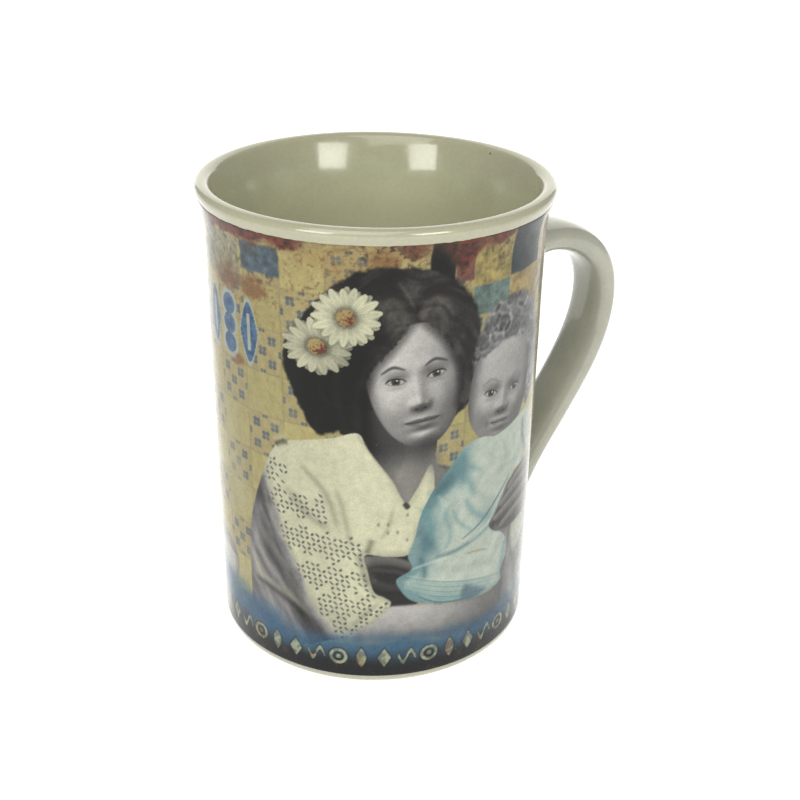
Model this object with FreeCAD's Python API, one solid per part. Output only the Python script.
"""A tall ceramic mug: a wall that widens very slightly upwards, a flared lip and a looped strap handle.

The clay vessel and the clay handle are made apart and joined with slip. A coat of glaze covers the
inside, the outside, the handle and the recess under the foot, and leaves the foot ring bare. A
printed ceramic transfer wraps the glazed wall and stops short of the handle on both sides.

Frame: millimetres, +Z up along the mug's axis, origin at the middle of the foot ring's flat, which
is what the mug stands on. The handle points along +X.
"""

import FreeCAD, Part

import math
import os

# Vessel
HEIGHT = 110.0
WALL_RADIUS = 37.38  # outside of the glazed wall, carried down to the table
WALL_DRAFT = 0.355  # degrees by which the outside leans out all the way up
CAVITY_RADIUS = 32.8  # inside of the glazed wall
FLOOR_TOP = 7.0
FLOOR_CORNER = 7.0  # fillet between the floor and the inside of the wall
GLAZE = 0.35

# Lip
FLARE_START = 98.3
FLARE_RADIUS = 27.9  # hollow curve outside, under the lip
FLARE_TURN = 20.0  # degrees by which the outside leans out where the lip's roll begins
INNER_ROLL = 2.0
INNER_LEAN = 25.0  # degrees by which the inside leans out below the roll

# Foot
FOOT_CORNER = 2.0
FOOT_GLAZE_END = 60.0  # degrees round the foot corner at which the glaze was wiped off
FOOT_OUTER = 35.2
FOOT_INNER = 31.4
FOOT_BEVEL = 0.5
RECESS_ROOF = 1.8  # glazed roof of the hollow under the foot
RECESS_FILLET = 0.6

# Handle: its middle line in the XZ plane, as (distance from the axis, height)
HANDLE_PATH = [
    (33.0, 86.8),
    (43.5, 89.7),
    (53.0, 88.2),
    (60.1, 82.2),
    (62.5, 72.3),
    (60.3, 61.2),
    (53.5, 47.9),
    (45.2, 35.0),
    (33.0, 18.0),
]
HANDLE_WIDTH = 13.8
HANDLE_THICKNESS = 7.2
HANDLE_SECTIONS = 25
ROOT_SWELL = 0.28  # how much wider the handle is where it meets the wall, as a share
ROOT_LENGTH = 9.0  # distance from the wall over which it swells
SLIP = 0.6  # layer of slip between the wall and the handle

# Printed transfer
PRINT_BOTTOM = 2.3
PRINT_TOP = 106.7  # it runs up the flare to just below the lip's roll
PRINT_GAP = 27.0  # degrees left bare on each side of the handle
PRINT_THICKNESS = 0.15

UP = FreeCAD.Vector(0, 0, 1)
ORIGIN = FreeCAD.Vector(0, 0, 0)


def wall_at(z):
    """The radius of the wall's outside at a height, below the flare."""
    return WALL_RADIUS + z * math.tan(math.radians(WALL_DRAFT))


def at(r, z):
    """A point of the half section, in the XZ plane."""
    return FreeCAD.Vector(r, 0, z)


def on_circle(centre, radius, degrees):
    """The point at an angle on a circle of the half section, counted from +X towards +Z."""
    turn = math.radians(degrees)
    return at(centre[0] + radius * math.cos(turn), centre[1] + radius * math.sin(turn))


def arc(centre, radius, start, end):
    """An arc of the half section between two angles in degrees."""
    points = [on_circle(centre, radius, a) for a in (start, (start + end) / 2, end)]
    return Part.Arc(*points).toShape()


def line(a, b):
    return Part.LineSegment(a, b).toShape()


def chain(edges):
    """Joins edges, given in order, with straight lines across the gaps between them."""
    ends = [(e.valueAt(e.FirstParameter), e.valueAt(e.LastParameter)) for e in edges]
    joined = []
    for i, edge in enumerate(edges):
        joined.append(edge)
        here, following = ends[i][1], ends[(i + 1) % len(edges)][0]
        if here.distanceToPoint(following) > 1e-6:
            joined.append(line(here, following))
    return Part.Wire(Part.__sortEdges__(joined))


def turned(edges):
    """The solid of revolution of a closed half section."""
    return Part.Face(chain(edges)).revolve(ORIGIN, UP, 360)


def lip_outer():
    """Centre and radius of the lip's outer roll, which follows the flare and ends at the full height."""
    lean = math.radians(FLARE_TURN)
    start_r = wall_at(FLARE_START) + FLARE_RADIUS * (1 - math.cos(lean))
    start_z = FLARE_START + FLARE_RADIUS * math.sin(lean)
    radius = (HEIGHT - start_z) / (1 + math.sin(lean))
    return (start_r - radius * math.cos(lean), start_z + radius * math.sin(lean)), radius


def outer_side(inset):
    """The outside from the lip's crest down to where the glaze ends on the foot corner, set into the clay."""
    crest, roll = lip_outer()
    flare = (wall_at(FLARE_START) + FLARE_RADIUS, FLARE_START)
    corner = (wall_at(FOOT_CORNER) - FOOT_CORNER, FOOT_CORNER)
    return [
        arc(crest, roll - inset, 90, -FLARE_TURN),
        arc(flare, FLARE_RADIUS + inset, 180 - FLARE_TURN, 180),
        line(at(wall_at(FLARE_START) - inset, FLARE_START), at(wall_at(FOOT_CORNER) - inset, FOOT_CORNER)),
        arc(corner, FOOT_CORNER - inset, 0, -FOOT_GLAZE_END),
    ]


def inner_side(inset):
    """The inside from the middle of the floor up to the lip's crest, set into the clay."""
    crest = (lip_outer()[0][0], HEIGHT - INNER_ROLL)
    lean = math.radians(INNER_LEAN)
    roll_end_r = crest[0] - INNER_ROLL * math.cos(lean)
    flare = (roll_end_r - CAVITY_RADIUS) / (1 - math.cos(lean))
    flare_centre = (
        CAVITY_RADIUS + flare,
        crest[1] + INNER_ROLL * math.sin(lean) - flare * math.sin(lean),
    )
    corner = (CAVITY_RADIUS - FLOOR_CORNER, FLOOR_TOP + FLOOR_CORNER)
    wall = CAVITY_RADIUS + inset
    return [
        line(at(0, FLOOR_TOP - inset), at(corner[0], FLOOR_TOP - inset)),
        arc(corner, FLOOR_CORNER + inset, -90, 0),
        line(at(wall, corner[1]), at(wall, flare_centre[1])),
        arc(flare_centre, flare - inset, 180, 180 - INNER_LEAN),
        arc(crest, INNER_ROLL - inset, 180 - INNER_LEAN, 90),
    ]


def backwards(edges):
    """The same edges in the other order, each turned round."""
    result = []
    for edge in reversed(edges):
        curve = edge.Curve.copy()
        a, b = edge.FirstParameter, edge.LastParameter
        if isinstance(curve, Part.Line):
            result.append(line(edge.valueAt(b), edge.valueAt(a)))
        else:
            points = [edge.valueAt(b), edge.valueAt((a + b) / 2), edge.valueAt(a)]
            result.append(Part.Arc(*points).toShape())
    return result


def make_body():
    """The clay vessel, with its bare foot ring and the hollow under the foot."""
    roof = RECESS_ROOF + GLAZE
    recess = FOOT_INNER - FOOT_BEVEL
    foot = [
        line(at(FOOT_OUTER, 0), at(FOOT_INNER, 0)),
        line(at(recess, FOOT_BEVEL), at(recess, roof)),
        line(at(recess, roof), at(0, roof)),
    ]
    return turned(inner_side(GLAZE) + outer_side(GLAZE) + foot)


def make_recess_glaze():
    """The coat of glaze on the roof of the hollow under the foot, thicker round its edge."""
    recess = FOOT_INNER - FOOT_BEVEL
    centre = (recess - RECESS_FILLET, RECESS_ROOF - RECESS_FILLET)
    roof = RECESS_ROOF + GLAZE
    return turned(
        [
            line(at(0, RECESS_ROOF), at(centre[0], RECESS_ROOF)),
            arc(centre, RECESS_FILLET, 90, 0),
            line(at(recess, centre[1]), at(recess, roof)),
            line(at(recess, roof), at(0, roof)),
        ]
    )


def make_coat(side):
    """The coat of glaze on one side of the vessel."""
    return turned(side(0) + backwards(side(GLAZE)))


def handle_loft(inset):
    """The whole handle, running on into the wall at both ends, with each section set in by inset."""
    curve = Part.BSplineCurve()
    curve.interpolate([at(r, z) for r, z in HANDLE_PATH])
    first, last = curve.FirstParameter, curve.LastParameter
    wires = []
    for i in range(HANDLE_SECTIONS):
        u = first + (last - first) * i / (HANDLE_SECTIONS - 1)
        middle = curve.value(u)
        along = curve.tangent(u)[0]
        clear = max(0.0, middle.x - wall_at(middle.z))
        swell = 1 + ROOT_SWELL * max(0.0, 1 - clear / ROOT_LENGTH) ** 2
        half_width = HANDLE_WIDTH / 2 * swell - inset
        half_thickness = HANDLE_THICKNESS / 2 * swell - inset
        outline = Part.Ellipse(ORIGIN, half_width, half_thickness).toShape()
        placed = Part.Wire([outline])
        across = FreeCAD.Vector(0, 1, 0)
        rotation = FreeCAD.Rotation(across, along.cross(across), along, "ZXY")
        placed.Placement = FreeCAD.Placement(middle, rotation)
        wires.append(placed)
    return Part.makeLoft(wires, True, False)


def drum(outside):
    """All that the wall's outer face encloses, carried on above and below, and grown by outside."""
    low, high = -HEIGHT / 2, 3 * HEIGHT / 2
    return Part.makeCone(wall_at(low) + outside, wall_at(high) + outside, high - low, at(0, low))


def make_handle_pieces():
    """The clay handle, the slip under each end and the coat of glaze, cut to the vessel's wall."""
    core = handle_loft(GLAZE)
    skin = handle_loft(0)
    slip_outside = SLIP - GLAZE
    slip = core.common(drum(slip_outside)).cut(drum(-GLAZE))
    lower, upper = sorted(slip.Solids, key=lambda s: s.CenterOfMass.z)
    return {
        "handle": core.cut(drum(slip_outside)),
        "handle_slip_upper": upper,
        "handle_slip_lower": lower,
        "handle_glaze": skin.cut(core).cut(drum(0)),
    }, core


def make_transfer():
    """The printed transfer on the wall and the flare, open where the handle is."""
    low, high = wall_at(PRINT_BOTTOM), wall_at(FLARE_START)
    centre = (high + FLARE_RADIUS, FLARE_START)
    turn = math.degrees(math.asin((PRINT_TOP - FLARE_START) / FLARE_RADIUS))
    half_section = chain(
        [
            line(at(low, PRINT_BOTTOM), at(high, FLARE_START)),
            arc(centre, FLARE_RADIUS, 180, 180 - turn),
            arc(centre, FLARE_RADIUS - PRINT_THICKNESS, 180 - turn, 180),
            line(at(high + PRINT_THICKNESS, FLARE_START), at(low + PRINT_THICKNESS, PRINT_BOTTOM)),
        ]
    )
    shape = Part.Face(half_section).revolve(ORIGIN, UP, 360 - 2 * PRINT_GAP)
    shape.rotate(ORIGIN, UP, PRINT_GAP)
    return shape


def main():
    pieces, core = make_handle_pieces()
    pieces["mug_body"] = make_body()
    pieces["inner_glaze"] = make_coat(inner_side)
    pieces["outer_glaze"] = make_coat(outer_side).cut(core)
    pieces["recess_glaze"] = make_recess_glaze()
    pieces["printed_transfer"] = make_transfer()
    os.makedirs("parts", exist_ok=True)
    for name, shape in pieces.items():
        solids = shape.Solids
        if not shape.isValid() or not solids:
            raise RuntimeError(f"{name} is not a valid solid")
        (solids[0] if len(solids) == 1 else shape).exportStep(f"parts/{name}.step")
        print(name, "solids", len(solids), "volume_mm3", round(shape.Volume, 1))


main()
